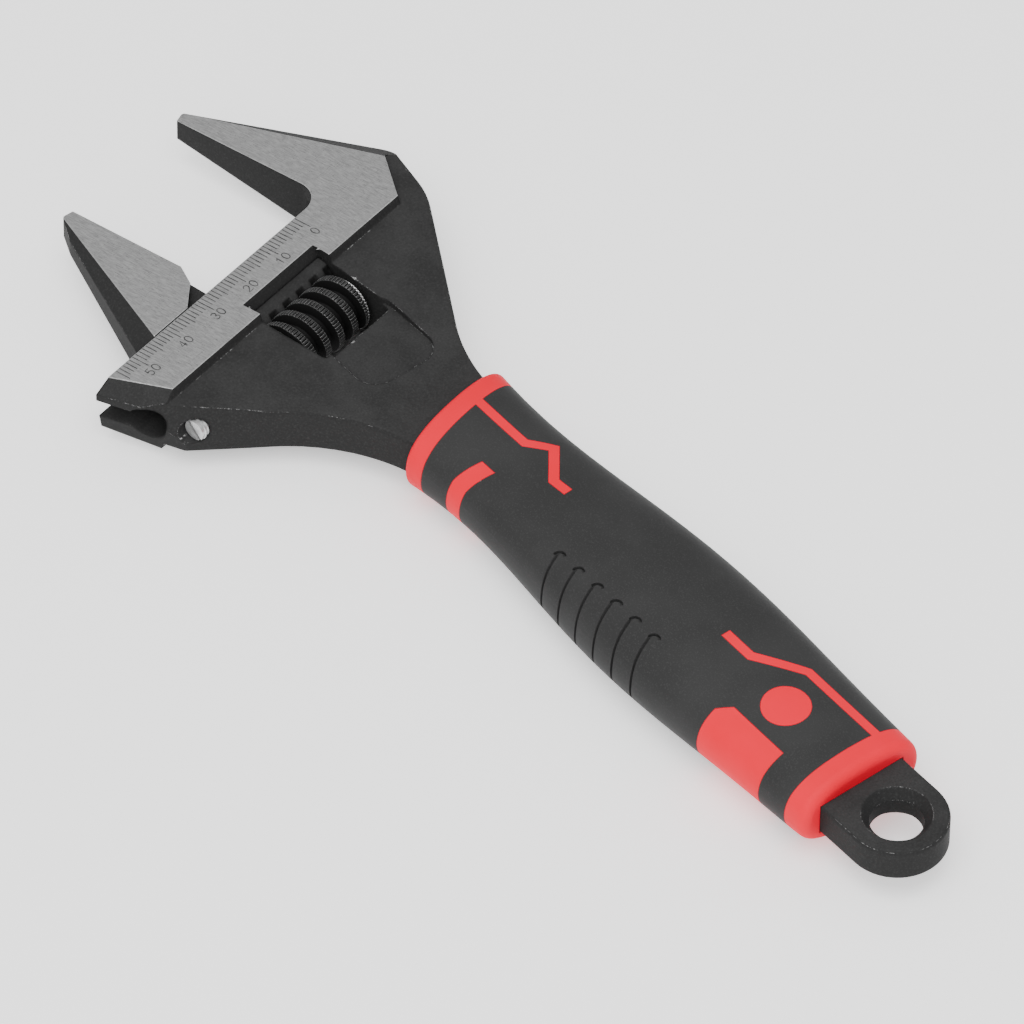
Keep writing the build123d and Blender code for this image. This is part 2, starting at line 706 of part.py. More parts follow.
# Bowed finger ribs, cut into the side of the sleeve, with a hook on each face
rib_core = grip_loft(RIB_DEPTH)
with BuildPart() as ribs:
    with BuildSketch(Plane(origin=(0, RIB_Y, 0), x_dir=(1, 0, 0), z_dir=(0, -1, 0))):
        with BuildLine():
            for number in range(RIB_COUNT):
                rib_x = RIB_X - number * RIB_PITCH
                ThreePointArc((rib_x, -RIB_HALF), (rib_x - RIB_BOW, 0), (rib_x, RIB_HALF))
        trace(line_width=RIB_WIDTH)
    extrude(amount=-BEYOND)
    with BuildSketch():
        with BuildLine():
            for number in range(RIB_COUNT):
                rib_x = RIB_X - number * RIB_PITCH
                ThreePointArc(
                    (rib_x, RIB_Y + HOOK_RISE),
                    (rib_x - HOOK_LENGTH / 3, RIB_Y - HOOK_RISE / 2),
                    (rib_x - HOOK_LENGTH, RIB_Y - HOOK_RISE / 4),
                )
        trace(line_width=RIB_WIDTH)
    extrude(amount=BAR_WIDTH, both=True)
    add(grip_form.part, mode=Mode.INTERSECT)
    add(rib_core, mode=Mode.SUBTRACT)

# Sleeve: the rest of the grip
with BuildPart() as grip_sleeve:
    add(grip_form.part)
    split(bisect_by=front_seam, keep=Keep.BOTTOM)
    split(bisect_by=rear_seam, keep=Keep.TOP)
    for inlay in (front_stripe, rear_stripe, front_band, side_block, grip_dot_front, grip_dot_back):
        add(inlay.part, mode=Mode.SUBTRACT)
    for room in (ribs, tang_room):
        add(room.part, mode=Mode.SUBTRACT)
grip_sleeve.part.label = "grip_sleeve"
export_step(grip_sleeve.part, "parts/grip_sleeve.step")
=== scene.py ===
from math import cos, pi, radians, sin, tan

import bmesh
import bpy
from mathutils import Matrix, Vector


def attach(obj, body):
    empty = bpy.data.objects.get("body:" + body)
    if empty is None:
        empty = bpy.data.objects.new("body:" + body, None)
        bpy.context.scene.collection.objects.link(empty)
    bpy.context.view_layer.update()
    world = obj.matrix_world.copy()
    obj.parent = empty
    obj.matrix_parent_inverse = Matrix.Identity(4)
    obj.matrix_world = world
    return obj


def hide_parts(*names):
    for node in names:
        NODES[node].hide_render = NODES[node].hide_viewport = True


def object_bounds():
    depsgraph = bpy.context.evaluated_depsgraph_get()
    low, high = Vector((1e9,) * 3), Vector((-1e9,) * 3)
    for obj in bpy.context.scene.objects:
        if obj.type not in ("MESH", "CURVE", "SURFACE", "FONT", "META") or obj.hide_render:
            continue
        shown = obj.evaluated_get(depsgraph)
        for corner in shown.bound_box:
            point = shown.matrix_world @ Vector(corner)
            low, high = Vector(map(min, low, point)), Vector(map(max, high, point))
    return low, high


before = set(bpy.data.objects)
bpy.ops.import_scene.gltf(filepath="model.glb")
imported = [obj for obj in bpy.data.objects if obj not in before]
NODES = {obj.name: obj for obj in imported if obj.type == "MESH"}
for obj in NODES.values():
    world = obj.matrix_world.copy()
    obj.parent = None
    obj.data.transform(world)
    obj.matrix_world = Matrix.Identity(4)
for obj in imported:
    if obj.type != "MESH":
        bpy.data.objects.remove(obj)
cad_low, cad_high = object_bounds()
MM = 0.001

# Head axes, ground wedge and rail bore, as the solids have them: u along the opening from the fixed
# jaw's face, v from the mouth's edge to the handle, in millimetres
HEAD = Vector((197.2, -16.4, 0)) * MM
TURN = radians(12.0)
U = Vector((-sin(TURN), cos(TURN), 0))
V = Vector((-cos(TURN), -sin(TURN), 0))
Z = Vector((0, 0, 1))
MOUTH_HALF = 5.95
LAND_SLOPE = 0.0893
BORE_V = 10.3
BORE_RADIUS = 4.0

# Worm, as the solids have it, in millimetres
WORM_U = 15.9
WORM_V = 18.7
WORM_LENGTH = 18.4
WORM_RADIUS = 6.6
WORM_ROOT = 4.2
WORM_BORE = 1.95
POCKET_RADIUS = 3.2
POCKET_DEPTH = 7.0
PITCH = 4.15
THREAD_PHASE = 2.1
CREST_HALF = 0.85
FLANK = tan(radians(10.0))


def on_head(u, v, z):
    """Place of head coordinates in millimetres."""
    return HEAD + (U * u + V * v + Z * z) * MM


# Sockets of a Mix node that mixes colours
MIX_FIRST, MIX_SECOND, MIX_RESULT = 6, 7, 2

# Rays of a Bevel node, and the cosines at which a face counts as flat and as an edge
BEVEL_SAMPLES = 6
FLAT_COSINE = 0.995
EDGE_COSINE = 0.9


class Tree:
    """A node material: add nodes, wire them, and end in one principled shader."""

    def __init__(self, name):
        self.material = bpy.data.materials.new(name)
        self.material.use_nodes = True
        self.nodes = self.material.node_tree.nodes
        self.links = self.material.node_tree.links
        self.shader = self.nodes["Principled BSDF"]
        self.place = self.add("ShaderNodeTexCoord").outputs["Object"]
        self.normal = self.add("ShaderNodeNewGeometry").outputs["Normal"]

    def add(self, kind, **settings):
        """New node with its settings."""
        node = self.nodes.new(kind)
        for key, value in settings.items():
            setattr(node, key, value)
        return node

    def put(self, socket, value):
        """Link a socket to another or set its value; None leaves it alone."""
        if isinstance(value, bpy.types.NodeSocket):
            self.links.new(value, socket)
        elif value is not None:
            socket.default_value = value

    def math(self, operation, first, second=None, third=None):
        node = self.add("ShaderNodeMath", operation=operation)
        for socket, value in zip(node.inputs, (first, second, third)):
            self.put(socket, value)
        return node.outputs[0]

    def product(self, first, *others):
        for other in others:
            first = self.math("MULTIPLY", first, other)
        return first

    def dot(self, first, second):
        node = self.add("ShaderNodeVectorMath", operation="DOT_PRODUCT")
        self.put(node.inputs[0], first)
        self.put(node.inputs[1], second)
        return node.outputs["Value"]

    def ramp(self, value, low, high):
        """0 at low, 1 at high, smooth between."""
        node = self.add("ShaderNodeMapRange", interpolation_type="SMOOTHSTEP")
        self.put(node.inputs["Value"], value)
        self.put(node.inputs["From Min"], low)
        self.put(node.inputs["From Max"], high)
        return node.outputs[0]

    def stretch(self, along_u, along_v, along_z):
        """Object place on the head's axes, each divided by a length in millimetres."""
        node = self.add("ShaderNodeCombineXYZ")
        for socket, axis, length in zip(node.inputs, (U, V, Z), (along_u, along_v, along_z)):
            self.put(socket, self.dot(self.place, axis / (length * MM)))
        return node.outputs[0]

    def noise(self, length=None, place=None, detail=2.0, rough=0.5):
        """Noise with features of a length in millimetres, or on a stretched place."""
        node = self.add("ShaderNodeTexNoise")
        node.inputs["Scale"].default_value = 1 / (length * MM) if place is None else 1.0
        node.inputs["Detail"].default_value = detail
        node.inputs["Roughness"].default_value = rough
        self.put(node.inputs["Vector"], self.place if place is None else place)
        return node.outputs["Fac"]

    def mix(self, share, first, second):
        """First colour at share 0, second at share 1."""
        node = self.add("ShaderNodeMix", data_type="RGBA")
        self.put(node.inputs[0], share)
        self.put(node.inputs[MIX_FIRST], first)
        self.put(node.inputs[MIX_SECOND], second)
        return node.outputs[MIX_RESULT]

    def bump(self, height, distance, strength, before=None):
        """Normal bumped by a height over a distance in millimetres."""
        node = self.add("ShaderNodeBump")
        node.inputs["Strength"].default_value = strength
        node.inputs["Distance"].default_value = distance * MM
        self.put(node.inputs["Height"], height)
        self.put(node.inputs["Normal"], before)
        return node.outputs[0]

    def rounded(self, radius):
        """Normal that rounds the edges by a radius in millimetres."""
        node = self.add("ShaderNodeBevel", samples=BEVEL_SAMPLES)
        node.inputs["Radius"].default_value = radius * MM
        return node.outputs[0]

    def edge(self, rounded):
        """1 on edges, falling to 0 away from them."""
        return self.ramp(self.dot(rounded, self.normal), FLAT_COSINE, EDGE_COSINE)

    def specks(self, spacing, size, share):
        """Sparse round specks, by spacing and size in millimetres and the share of places with one."""
        node = self.add("ShaderNodeTexVoronoi")
        node.inputs["Scale"].default_value = 1 / (spacing * MM)
        self.put(node.inputs["Vector"], self.place)
        dot = self.ramp(node.outputs["Distance"], size / spacing, 0.5 * size / spacing)
        chosen = self.math("LESS_THAN", self.dot(node.outputs["Color"], (1, 0, 0)), share)
        return self.product(dot, chosen)

    def end(self, **values):
        """Put values on the shader's sockets, named with underscores, and give the material."""
        for key, value in values.items():
            self.put(self.shader.inputs[key.replace("_", " ")], value)
        return self.material


def grey(value):
    """Opaque grey of a linear level."""
    return (value, value, value, 1.0)


def from_head(tree, u, v):
    """Vector from head coordinates on the middle plane to the place shaded."""
    node = tree.add("ShaderNodeVectorMath", operation="SUBTRACT")
    tree.put(node.inputs[0], tree.place)
    tree.put(node.inputs[1], on_head(u, v, 0))
    return node.outputs[0]


def from_axis(tree, v):
    """Distance in millimetres from the line along u through v on the middle plane."""
    offset = from_head(tree, 0, v)
    across = tree.dot(offset, V / MM)
    height = tree.dot(offset, Z / MM)
    return tree.math("SQRT", tree.math("MULTIPLY_ADD", across, across, tree.product(height, height)))


# Depth below the wedge faces, in millimetres, over which the ground look fades in
LAND_FADE_START = -0.12
LAND_FADE_END = -0.05


def land_mask(tree):
    """1 on the ground wedge faces, 0 elsewhere."""
    along = tree.dot(from_head(tree, 0, 0), V)
    height = tree.math("ABSOLUTE", tree.dot(tree.place, Z))
    face = tree.math("MULTIPLY_ADD", along, LAND_SLOPE, MOUTH_HALF * MM)
    above = tree.math("SUBTRACT", height, face)
    return tree.ramp(above, LAND_FADE_START * MM, LAND_FADE_END * MM)


# Radii of the edges of the ground faces, of the paint and of the band that gets knocked, in millimetres
SHARP_RADIUS = 0.3
SOFT_RADIUS = 0.9
KNOCKED_RADIUS = 1.2

# Greys of the bare steel, and the share that scratches and pits darken it by
BARE_DARK = 0.26
BARE_LIGHT = 0.47
BARE_MARK = 0.12
BARE_NICK = 0.1
# Grey of the painted highlight along the edges of the ground faces
BARE_EDGE_HIGHLIGHT = 0.62
MARK_SHARE = 0.5

# Greys of the black paint, and the shares of its grain
PAINT_DARK = 0.026
PAINT_LIGHT = 0.034
# Grey of the painted shade on the side faces, which turn away from straight up and down
PAINT_SIDE_SHADE = 0.024
PAINT_PEAK = 0.05
PAINT_HOLLOW = 0.014
PAINT_WORN = 0.35
PAINT_CHIP = 0.5
PAINT_DUST = 0.35
PEAK_SHARE = 0.35
HOLLOW_SHARE = 0.3


def bare_steel(tree, edge, knocked, cloud):
    """Colour of the ground faces: grain, scratches, pits, nicks and a painted highlight along the
    edges.
    """
    grain = tree.noise(place=tree.stretch(0.2, 2.0, 0.5), detail=3, rough=0.7)
    scratch = tree.ramp(tree.noise(place=tree.stretch(4.5, 0.14, 1)), 0.66, 0.72)
    pits = tree.ramp(tree.noise(0.35, rough=0.6), 0.6, 0.7)
    marks = tree.product(tree.math("MAXIMUM", scratch, pits), MARK_SHARE)
    nick = tree.product(knocked, tree.ramp(tree.noise(0.5, detail=3, rough=0.7), 0.58, 0.66))
    # Painted highlight: the edges of the ground faces get a paler grey in patches
    bright = tree.product(edge, tree.ramp(cloud, 0.3, 0.5))
    bare = tree.mix(tree.ramp(grain, 0.25, 0.75), grey(BARE_DARK), grey(BARE_LIGHT))
    bare = tree.mix(marks, bare, grey(BARE_MARK))
    bare = tree.mix(nick, bare, grey(BARE_NICK))
    return tree.mix(bright, bare, grey(BARE_EDGE_HIGHLIGHT))


def black_paint(tree, edge, knocked, cloud, skin):
    """Colour of the paint: painted shade on the sides, grain, rubbed edges and chamfers, chips and
    dust.
    """
    facing = tree.math("ABSOLUTE", tree.dot(tree.normal, Z))
    behind_mouth = tree.ramp(tree.dot(from_head(tree, 0, 0), V / MM), 0.0, 3.0)
    outside_bore = tree.ramp(from_axis(tree, BORE_V), BORE_RADIUS + 0.1, BORE_RADIUS + 0.3)
    patch = tree.noise(0.6, detail=4, rough=0.7)
    rubbed = tree.ramp(tree.noise(5), 0.45, 0.58)
    chamfer = tree.product(tree.ramp(facing, 0.66, 0.71), tree.ramp(facing, 0.8, 0.75), behind_mouth)
    exposed = tree.math("MAXIMUM", edge, chamfer)
    worn = tree.product(tree.ramp(patch, 0.46, 0.66), rubbed, exposed, outside_bore)
    chips = tree.specks(spacing=6, size=1.1, share=0.3)
    chips = tree.product(chips, tree.ramp(patch, 0.5, 0.6), knocked, outside_bore)
    black = tree.mix(tree.ramp(cloud, 0.3, 0.7), grey(PAINT_DARK), grey(PAINT_LIGHT))
    # Painted shade: faces that turn away from straight up and down get a darker grey
    black = tree.mix(tree.ramp(facing, 0.96, 0.8), black, grey(PAINT_SIDE_SHADE))
    black = tree.mix(tree.product(tree.ramp(skin, 0.5, 0.72), PEAK_SHARE), black, grey(PAINT_PEAK))
    black = tree.mix(tree.product(tree.ramp(skin, 0.5, 0.28), HOLLOW_SHARE), black, grey(PAINT_HOLLOW))
    black = tree.mix(worn, black, grey(PAINT_WORN))
    black = tree.mix(chips, black, grey(PAINT_CHIP))
    return tree.mix(tree.specks(spacing=7, size=0.22, share=0.12), black, grey(PAINT_DUST))


def steel(name):
    """Black satin forging, worn on its edges, whose ground faces are bare steel with a fine grain."""
    tree = Tree(name)
    land = land_mask(tree)
    sharp = tree.rounded(SHARP_RADIUS)
    soft = tree.rounded(SOFT_RADIUS)
    edge = tree.edge(sharp)
    knocked = tree.edge(tree.rounded(KNOCKED_RADIUS))
    cloud = tree.noise(9, detail=3, rough=0.55)
    skin = tree.noise(0.45, detail=3, rough=0.6)
    fine = tree.noise(place=tree.stretch(0.05, 1.2, 0.2))
    bare = bare_steel(tree, edge, knocked, cloud)
    black = black_paint(tree, edge, knocked, cloud, skin)
    unground = tree.math("SUBTRACT", 1.0, land)
    height = tree.math("MULTIPLY_ADD", skin, unground, tree.product(fine, 0.25))
    rough = tree.math("MULTIPLY_ADD", fine, 0.12, 0.46)
    tree.shader.inputs["Specular IOR Level"].default_value = 0.03
    return tree.end(
        Base_Color=tree.mix(land, black, bare),
        Metallic=tree.product(land, 0.9),
        Roughness=tree.math("MULTIPLY_ADD", land, -0.14, rough),
        Normal=tree.bump(height, distance=0.05, strength=0.6, before=tree.mix(land, soft, sharp)),
    )


# Greys of the grain and the dust on the black grip, and the radius of the red grip's seam
GRIP_PEAK = 0.045
GRIP_DUST = 0.3
SEAM_RADIUS = 0.3


def rubber(name, dark, light, seam=None):
    """Soft moulded grip with a fine matte grain, and a darker line at its seams or dust on it."""
    tree = Tree(name)
    cloud = tree.noise(14, detail=3)
    grain = tree.noise(0.35, rough=0.6)
    colour = tree.mix(tree.ramp(cloud, 0.3, 0.7), dark, light)
    if seam:
        colour = tree.mix(tree.edge(tree.rounded(SEAM_RADIUS)), colour, seam)
    else:
        colour = tree.mix(tree.product(tree.ramp(grain, 0.5, 0.7), 0.5), colour, grey(GRIP_PEAK))
        colour = tree.mix(tree.specks(spacing=6, size=0.2, share=0.3), colour, grey(GRIP_DUST))
    tree.shader.inputs["Specular IOR Level"].default_value = 0.1
    return tree.end(
        Base_Color=colour,
        Roughness=tree.math("MULTIPLY_ADD", grain, 0.1, 0.5),
        Normal=tree.bump(grain, distance=0.02, strength=0.5),
    )


def plain_metal(name, dark, light, rough, metal=0.9):
    """Metal with a faint cloudy finish."""
    tree = Tree(name)
    cloud = tree.noise(1.6, detail=3, rough=0.6)
    colour = tree.mix(tree.ramp(cloud, 0.35, 0.65), grey(dark), grey(light))
    tree.shader.inputs["Metallic"].default_value = metal
    return tree.end(Base_Color=colour, Roughness=tree.math("MULTIPLY_ADD", cloud, 0.1, rough))


# Greys of the worm: the root of its thread, its crest, the crest's edges and the rim of its first end
WORM_BLACK = 0.008
WORM_RUBBED = 0.06
WORM_EDGE = 0.3
WORM_RIM = 0.85


def worm_steel(name):
    """Black-oxide steel, black in the roots of the thread and rubbed on the knurled crests."""
    tree = Tree(name)
    radius = from_axis(tree, WORM_V)
    along = tree.dot(from_head(tree, WORM_U, WORM_V), U / MM)
    crest = tree.ramp(radius, WORM_RADIUS - 0.3, WORM_RADIUS - 0.08)
    rubbed = tree.product(crest, tree.ramp(tree.noise(1.4, detail=3, rough=0.6), 0.2, 0.7))
    edge = tree.product(tree.edge(tree.rounded(0.1)), crest)
    outer = tree.ramp(radius, WORM_RADIUS - 0.5, WORM_RADIUS - 0.4)
    rim = tree.product(tree.ramp(along, 0.3, 0.2), outer)
    colour = tree.mix(rubbed, grey(WORM_BLACK), grey(WORM_RUBBED))
    colour = tree.mix(edge, colour, grey(WORM_EDGE))
    colour = tree.mix(rim, colour, grey(WORM_RIM))
    tree.shader.inputs["Specular IOR Level"].default_value = 0.05
    return tree.end(
        Base_Color=colour,
        Metallic=tree.math("MAXIMUM", rim, tree.product(crest, 0.8)),
        Roughness=tree.math("MULTIPLY_ADD", crest, -0.15, 0.55),
        Normal=tree.rounded(0.15),
    )


RED_DARK = (0.78, 0.002, 0.022, 1)
RED_LIGHT = (0.83, 0.003, 0.027, 1)
RED_SEAM = (0.3, 0.001, 0.005, 1)
STEEL = steel("forged_steel")
BLACK = rubber("grip_black", grey(0.026), grey(0.032))
RED = rubber("grip_red", RED_DARK, RED_LIGHT, seam=RED_SEAM)
DARK = worm_steel("worm_steel")
ZINC = plain_metal("zinc", dark=0.4, light=0.6, rough=0.26, metal=0.6)
SPRING = plain_metal("spring_wire", dark=0.35, light=0.45, rough=0.3)
INK = plain_metal("engraving", dark=0.05, light=0.15, rough=0.5)
LOOKS = {
    STEEL: ["body", "sliding_jaw"],
    DARK: ["worm"],
    ZINC: ["worm_pin"],
    SPRING: ["worm_spring"],
    BLACK: ["grip_sleeve"],
    RED: [
        "front_collar", "rear_collar", "front_band", "side_block", "grip_dot_front", "grip_dot_back",
    ],
}
for look, names in LOOKS.items():
    for name in names:
        NODES[name].data.materials.clear()
        NODES[name].data.materials.append(look)

# Angle in degrees from which an edge of a smooth piece stays sharp
SHARP_ANGLE = 35


def piece(name, mesh, look, body, smooth=False):
    """Object from a bmesh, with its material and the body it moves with."""
    data = bpy.data.meshes.new(name)
    mesh.to_mesh(data)
    mesh.free()
    data.materials.append(look)
    if smooth:
        data.shade_smooth()
        data.set_sharp_from_angle(angle=radians(SHARP_ANGLE))
    thing = bpy.data.objects.new(name, data)
    bpy.context.scene.collection.objects.link(thing)
    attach(thing, body)
    return thing


# Scale on the bar, in millimetres: its zero along u, its ticks and digits along v, and their strokes
ZERO_U = 8.9
SCALE_LENGTH = 55
TICK_START = 0.15
TICK_LENGTHS = {1: 2.9, 5: 3.6, 10: 4.1}
TICK_WIDTH = 0.24
LABEL_V = 5.75
LABEL_SHIFT = 0.4
DIGIT_HEIGHT = 2.0
DIGIT_WIDTH = 1.2
DIGIT_STEP = 1.8
STROKE_WIDTH = 0.26
MARK_LIFT = 0.012
MARK_DEPTH = 0.1
ARC_STEP = 15
ARC_LEAST_STEPS = 6


def arc(x, y, radius_x, radius_y, start, end):
    """Points of an elliptical arc between two angles in degrees."""
    steps = max(ARC_LEAST_STEPS, int(abs(end - start) / ARC_STEP))
    turns = [radians(start + (end - start) * step / steps) for step in range(steps + 1)]
    return [(x + radius_x * cos(turn), y + radius_y * sin(turn)) for turn in turns]


# Engraved strokes of the digits in a box of one by one about its middle
DIGITS = {
    "0": [arc(0, 0, 0.5, 0.5, 90, 450)],
    "1": [[(-0.3, 0.25), (0.05, 0.5), (0.05, -0.5)]],
    "2": [arc(0, 0.2, 0.45, 0.3, 165, -40) + [(-0.45, -0.5), (0.48, -0.5)]],
    "3": [arc(0, 0.24, 0.42, 0.26, 150, -90) + arc(0, -0.25, 0.48, 0.25, 90, -150)],
    "4": [[(0.2, -0.5), (0.2, 0.5), (-0.48, -0.2), (0.5, -0.2)]],
    "5": [[(0.42, 0.5), (-0.3, 0.5), (-0.38, 0.05)] + arc(0, -0.18, 0.46, 0.32, 130, -145)],
}


def ribbon(mesh, points, width):
    """Thin closed strip along (u, v) points of the front land, sunk into it."""
    rows = []
    for index, (u, v) in enumerate(points):
        before = points[max(index - 1, 0)]
        after = points[min(index + 1, len(points) - 1)]
        along = Vector((after[0] - before[0], after[1] - before[1])).normalized()
        side = Vector((-along.y, along.x)) * width / 2
        row = []
        for sign in (1, -1):
            spot = (u + sign * side.x, v + sign * side.y)
            face = MOUTH_HALF + LAND_SLOPE * spot[1]
            for lift in (MARK_LIFT, -MARK_DEPTH):
                row.append(mesh.verts.new(on_head(*spot, face + lift)))
        rows.append(row)
    for (a, b, c, d), (e, f, g, h) in zip(rows, rows[1:]):
        for face in ((a, c, g, e), (b, f, h, d), (a, e, f, b), (c, d, h, g)):
            mesh.faces.new(face)
    mesh.faces.new((rows[0][0], rows[0][1], rows[0][3], rows[0][2]))
    mesh.faces.new((rows[-1][0], rows[-1][2], rows[-1][3], rows[-1][1]))


def scale_marks():
    """Millimetre ticks and a number at each centimetre."""
    mesh = bmesh.new()
    for value in range(SCALE_LENGTH + 1):
        length = TICK_LENGTHS[max(step for step in TICK_LENGTHS if value % step == 0)]
        u = ZERO_U + value
        ribbon(mesh, [(u, TICK_START), (u, TICK_START + length)], TICK_WIDTH)
        if value % 10:
            continue
        label = str(value)
        for place, digit in enumerate(label):
            middle = u + LABEL_SHIFT - (place - (len(label) - 1) / 2) * DIGIT_STEP
            for stroke in DIGITS[digit]:
                spots = [(middle - x * DIGIT_WIDTH, LABEL_V - y * DIGIT_HEIGHT) for x, y in stroke]
                ribbon(mesh, spots, STROKE_WIDTH)
    bmesh.ops.recalc_face_normals(mesh, faces=mesh.faces)
    piece("scale_marks", mesh, INK, "handle")


scale_marks()

# Knurled worm: steps round it and round its bore, the serration of its crest, and the crest's rounding
# in millimetres, with the share of the knurl halfway round it
WORM_STEPS = 672
BORE_STEPS = 96
KNURL_TEETH = 56
KNURL_DEPTH = 0.3
CREST_ROUND = 0.22
ROUND_MIDDLE = 0.3
KNURL_MIDDLE = 0.4


def thread_rows():
    """(axial place, radius, share of the knurl) across one pitch, about the middle of the crest."""
    foot = CREST_HALF + FLANK * (WORM_RADIUS - WORM_ROOT)
    middle = ROUND_MIDDLE * CREST_ROUND
    half = [
        (0.0, WORM_RADIUS, 1),
        (CREST_HALF - CREST_ROUND, WORM_RADIUS, 1),
        (CREST_HALF - middle, WORM_RADIUS - middle, KNURL_MIDDLE),
        (CREST_HALF, WORM_RADIUS - CREST_ROUND, 0),
        (foot - CREST_ROUND / 2, WORM_ROOT + CREST_ROUND, 0),
        (foot + CREST_ROUND, WORM_ROOT, 0),
    ]
    return [(-place, radius, knurl) for place, radius, knurl in reversed(half[1:])] + half


def worm_point(s, radius, turn):
    """Point of the worm: s along its axis, turn from the mouth's side."""
    return on_head(WORM_U + s, WORM_V - radius * cos(turn), -radius * sin(turn))


def knurled_worm():
    """Right-handed worm with serrated crests, a bore for the pin and a pocket for the spring."""
    rows = thread_rows()
    turns = range(-2, int(WORM_LENGTH / PITCH) + 3)
    mesh = bmesh.new()
    grid = []
    for turn_number in turns:
        for place, radius, knurl in rows:
            line = []
            for step in range(WORM_STEPS):
                turn = 2 * pi * step / WORM_STEPS
                s = THREAD_PHASE + PITCH * (turn_number + turn / (2 * pi)) + place
                cut = knurl * KNURL_DEPTH * max(0.0, cos(KNURL_TEETH * turn))
                line.append(mesh.verts.new(worm_point(s, radius - cut, turn)))
            grid.append(line)
    for number, (low, high) in enumerate(zip(grid, grid[1:])):
        for step in range(WORM_STEPS - 1):
            mesh.faces.new((low[step], low[step + 1], high[step + 1], high[step]))
        if number + len(rows) + 1 < len(grid):
            seam_low, seam_high = grid[number + len(rows)], grid[number + len(rows) + 1]
            mesh.faces.new((low[-1], seam_low[0], seam_high[0], high[-1]))
    ends = []
    for s, outward in ((0, -U), (WORM_LENGTH, U)):
        cut = bmesh.ops.bisect_plane(
            mesh,
            geom=mesh.verts[:] + mesh.edges[:] + mesh.faces[:],
            plane_co=on_head(WORM_U + s, WORM_V, 0),
            plane_no=outward,
            clear_outer=True,
        )
        ends.append([edge for edge in cut["geom_cut"] if isinstance(edge, bmesh.types.BMEdge)])
    pocket = [(0, POCKET_RADIUS), (POCKET_DEPTH, POCKET_RADIUS)]
    bore = pocket + [(POCKET_DEPTH, WORM_BORE), (WORM_LENGTH, WORM_BORE)]
    loops = []
    for s, radius in bore:
        angles = [2 * pi * step / BORE_STEPS for step in range(BORE_STEPS)]
        ring = [mesh.verts.new(worm_point(s, radius, angle)) for angle in angles]
        loops.append([mesh.edges.new(pair) for pair in zip(ring, ring[1:] + ring[:1])])
    for first, second in zip(loops, loops[1:]):
        bmesh.ops.bridge_loops(mesh, edges=first + second)
    bmesh.ops.bridge_loops(mesh, edges=ends[0] + loops[0])
    bmesh.ops.bridge_loops(mesh, edges=ends[1] + loops[-1])
    bmesh.ops.recalc_face_normals(mesh, faces=mesh.faces)
    worm = piece("knurled_worm", mesh, DARK, "worm", smooth=True)
    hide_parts("worm")


knurled_worm()

# Screw thread on the head of the pin, in millimetres; start, foot and crest are shares of its pitch
PIN_HEAD_U = 62.2
PIN_HEAD_RADIUS = 2.3
SCREW_LENGTH = 8.0
SCREW_PITCH = 0.75
SCREW_HEIGHT = 0.2
SCREW_STEPS = 40
SCREW_START = 0.6
SCREW_FOOT = 0.45
SCREW_CREST = 0.08


def pin_thread():
    """Helical ridge round the pin's head, closed at both ends."""
    section = (
        (-SCREW_FOOT, -SCREW_HEIGHT), (-SCREW_CREST, SCREW_HEIGHT),
        (SCREW_CREST, SCREW_HEIGHT), (SCREW_FOOT, -SCREW_HEIGHT),
    )
    mesh = bmesh.new()
    rows = []
    for step in range(int(SCREW_LENGTH / SCREW_PITCH * SCREW_STEPS) + 1):
        turn = 2 * pi * step / SCREW_STEPS
        s = PIN_HEAD_U - WORM_U - SCREW_PITCH * (SCREW_START + step / SCREW_STEPS)
        rows.append([
            mesh.verts.new(worm_point(s + place * SCREW_PITCH, PIN_HEAD_RADIUS + rise, turn))
            for place, rise in section
        ])
    for low, high in zip(rows, rows[1:]):
        for corner in range(len(section)):
            after = (corner + 1) % len(section)
            mesh.faces.new((low[corner], low[after], high[after], high[corner]))
    mesh.faces.new(rows[0])
    mesh.faces.new(rows[-1])
    bmesh.ops.recalc_face_normals(mesh, faces=mesh.faces)
    piece("pin_thread", mesh, ZINC, "handle", smooth=True)


pin_thread()

# Pale paper floor, in metres, with a painted pool of light: its colour and its glow fall off away from
# the object. A painted shadow darkens it under the window of the head, so that no bright floor shines
# through the worm; that spot is in head coordinates.
FLOOR_SIZE = 8
FLOOR_X = 0.1
FLOOR_GAP = 0.0002
PAPER_NEAR = 0.25
PAPER_FAR = 1.0
SHADOW_PLACE = (14.0, 20.0)
SHADOW_INNER = 0.008
SHADOW_OUTER = 0.014
PAPER_POOL_LIGHT = 0.92
PAPER_POOL_DIM = 0.35
PAPER_PAINTED_SHADOW = 0.12
PAPER_POOL_GLOW = 0.6
bpy.ops.mesh.primitive_plane_add(size=FLOOR_SIZE, location=(FLOOR_X, 0, cad_low.z - FLOOR_GAP))
floor = bpy.context.object
floor.name = "floor"
paper = Tree("paper")
away = paper.add("ShaderNodeVectorMath", operation="LENGTH")
paper.put(away.inputs[0], paper.place)
near = paper.ramp(away.outputs["Value"], PAPER_FAR, PAPER_NEAR)
beside = paper.add("ShaderNodeVectorMath", operation="DISTANCE")
paper.put(beside.inputs[0], paper.place)
paper.put(beside.inputs[1], on_head(*SHADOW_PLACE, 0) - Vector((FLOOR_X, 0, 0)))
# Painted shadow: a dark disc without glow on the paper under the head's window
outside_painted_shadow = paper.ramp(beside.outputs["Value"], SHADOW_INNER, SHADOW_OUTER)
# Painted pool of light: the paper is paler and glows more near the object
lit = paper.mix(near, grey(PAPER_POOL_DIM), grey(PAPER_POOL_LIGHT))
paper.end(
    Base_Color=paper.mix(outside_painted_shadow, grey(PAPER_PAINTED_SHADOW), lit),
    Emission_Color=grey(1),
    Emission_Strength=paper.product(near, outside_painted_shadow, PAPER_POOL_GLOW),
    Roughness=0.9,
)
floor.data.materials.append(paper.material)

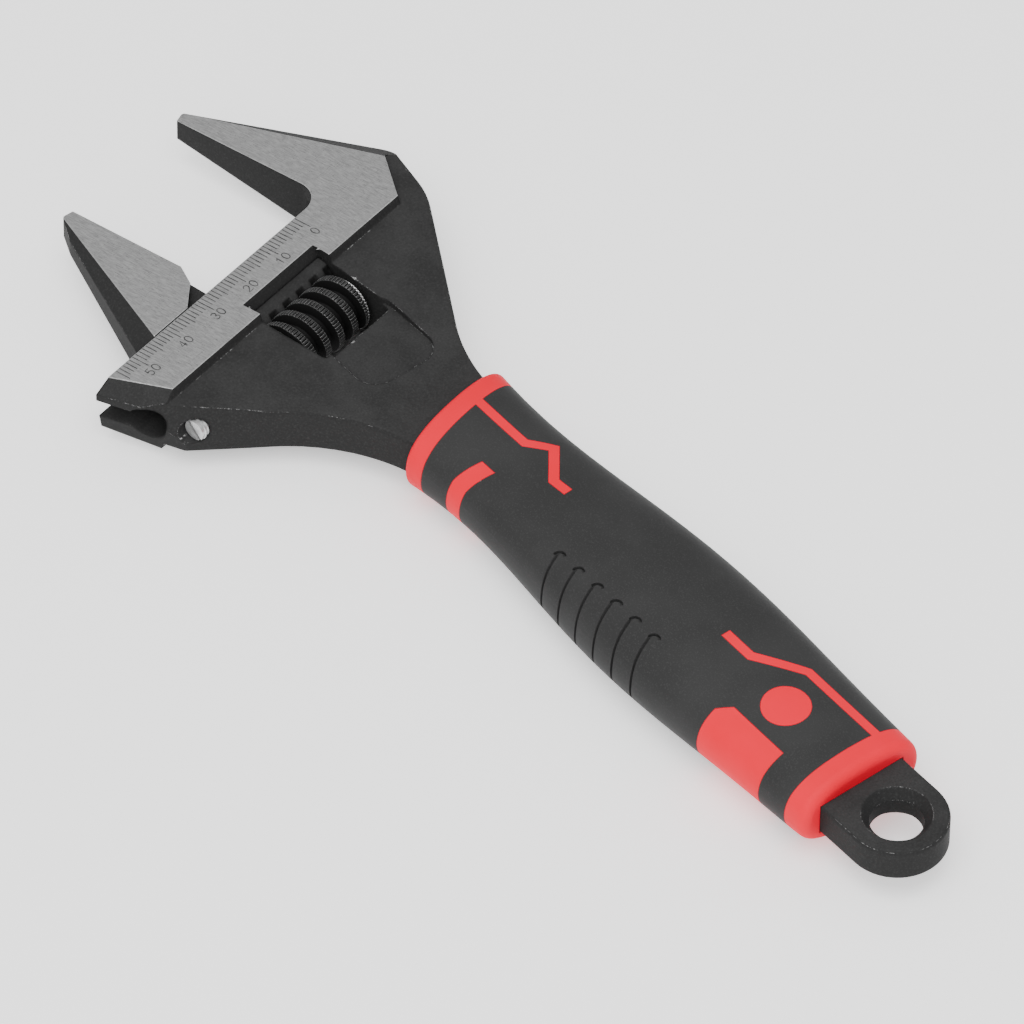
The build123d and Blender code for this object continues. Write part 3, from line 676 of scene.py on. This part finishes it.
# Light of a studio dome, brighter overhead than near the horizon, with a key and a fill
DOME_TOP = 0.9
DOME_LOW_LEVEL = 0.35
DOME_TOP_LEVEL = 1.1
LIGHT_AIM = Vector((0.11, 0, 0))
world = bpy.data.worlds.new("studio")
bpy.context.scene.world = world
world.use_nodes = True
dome = world.node_tree
height = dome.nodes.new("ShaderNodeSeparateXYZ")
dome.links.new(dome.nodes.new("ShaderNodeTexCoord").outputs["Generated"], height.inputs[0])
level = dome.nodes.new("ShaderNodeMapRange")
level.inputs["From Min"].default_value = 0.0
level.inputs["From Max"].default_value = DOME_TOP
level.inputs["To Min"].default_value = DOME_LOW_LEVEL
level.inputs["To Max"].default_value = DOME_TOP_LEVEL
dome.links.new(height.outputs["Z"], level.inputs["Value"])
dome.links.new(level.outputs["Result"], dome.nodes["Background"].inputs["Strength"])
dome.nodes["Background"].inputs["Color"].default_value = grey(1)


def area_light(name, place, size, power):
    """Square light aimed at the middle of the object, its size in metres and its power in watts."""
    data = bpy.data.lights.new(name, "AREA")
    data.size = size
    data.energy = power
    light = bpy.data.objects.new(name, data)
    light.location = place
    light.rotation_mode = "QUATERNION"
    light.rotation_quaternion = (LIGHT_AIM - Vector(place)).to_track_quat("-Z", "Y")
    bpy.context.scene.collection.objects.link(light)


area_light("key", (-0.2, 0.35, 1.3), size=1.2, power=18)
area_light("fill", (-0.6, 0.9, 0.7), size=1.0, power=5)

# Camera at the photograph's viewing angle, fitted to the scale, the jaws, the hang hole and the tang
ELEVATION = radians(46.53)
AZIMUTH = radians(230.4)
DISTANCE = 2.34668
TARGET = Vector((0.10995, 0.00544, 0))
ROLL = radians(0.84)
FOCAL_PIXELS = 12000
IMAGE_PIXELS = 1024
SENSOR_WIDTH = 36
right = Vector((cos(AZIMUTH), sin(AZIMUTH), 0))
ground = Vector((-sin(AZIMUTH), cos(AZIMUTH), 0))
look = cos(ELEVATION) * ground - sin(ELEVATION) * Z
up = sin(ELEVATION) * ground + cos(ELEVATION) * Z
right, up = cos(ROLL) * right + sin(ROLL) * up, cos(ROLL) * up - sin(ROLL) * right
camera_data = bpy.data.cameras.new("camera")
camera_data.sensor_width = SENSOR_WIDTH
camera_data.lens = SENSOR_WIDTH * FOCAL_PIXELS / IMAGE_PIXELS
camera_data.clip_start, camera_data.clip_end = 0.01, 50
camera = bpy.data.objects.new("camera", camera_data)
bpy.context.scene.collection.objects.link(camera)
turned = Matrix((right, up, -look)).transposed().to_4x4()
camera.matrix_world = Matrix.Translation(TARGET - look * DISTANCE) @ turned
bpy.context.scene.camera = camera
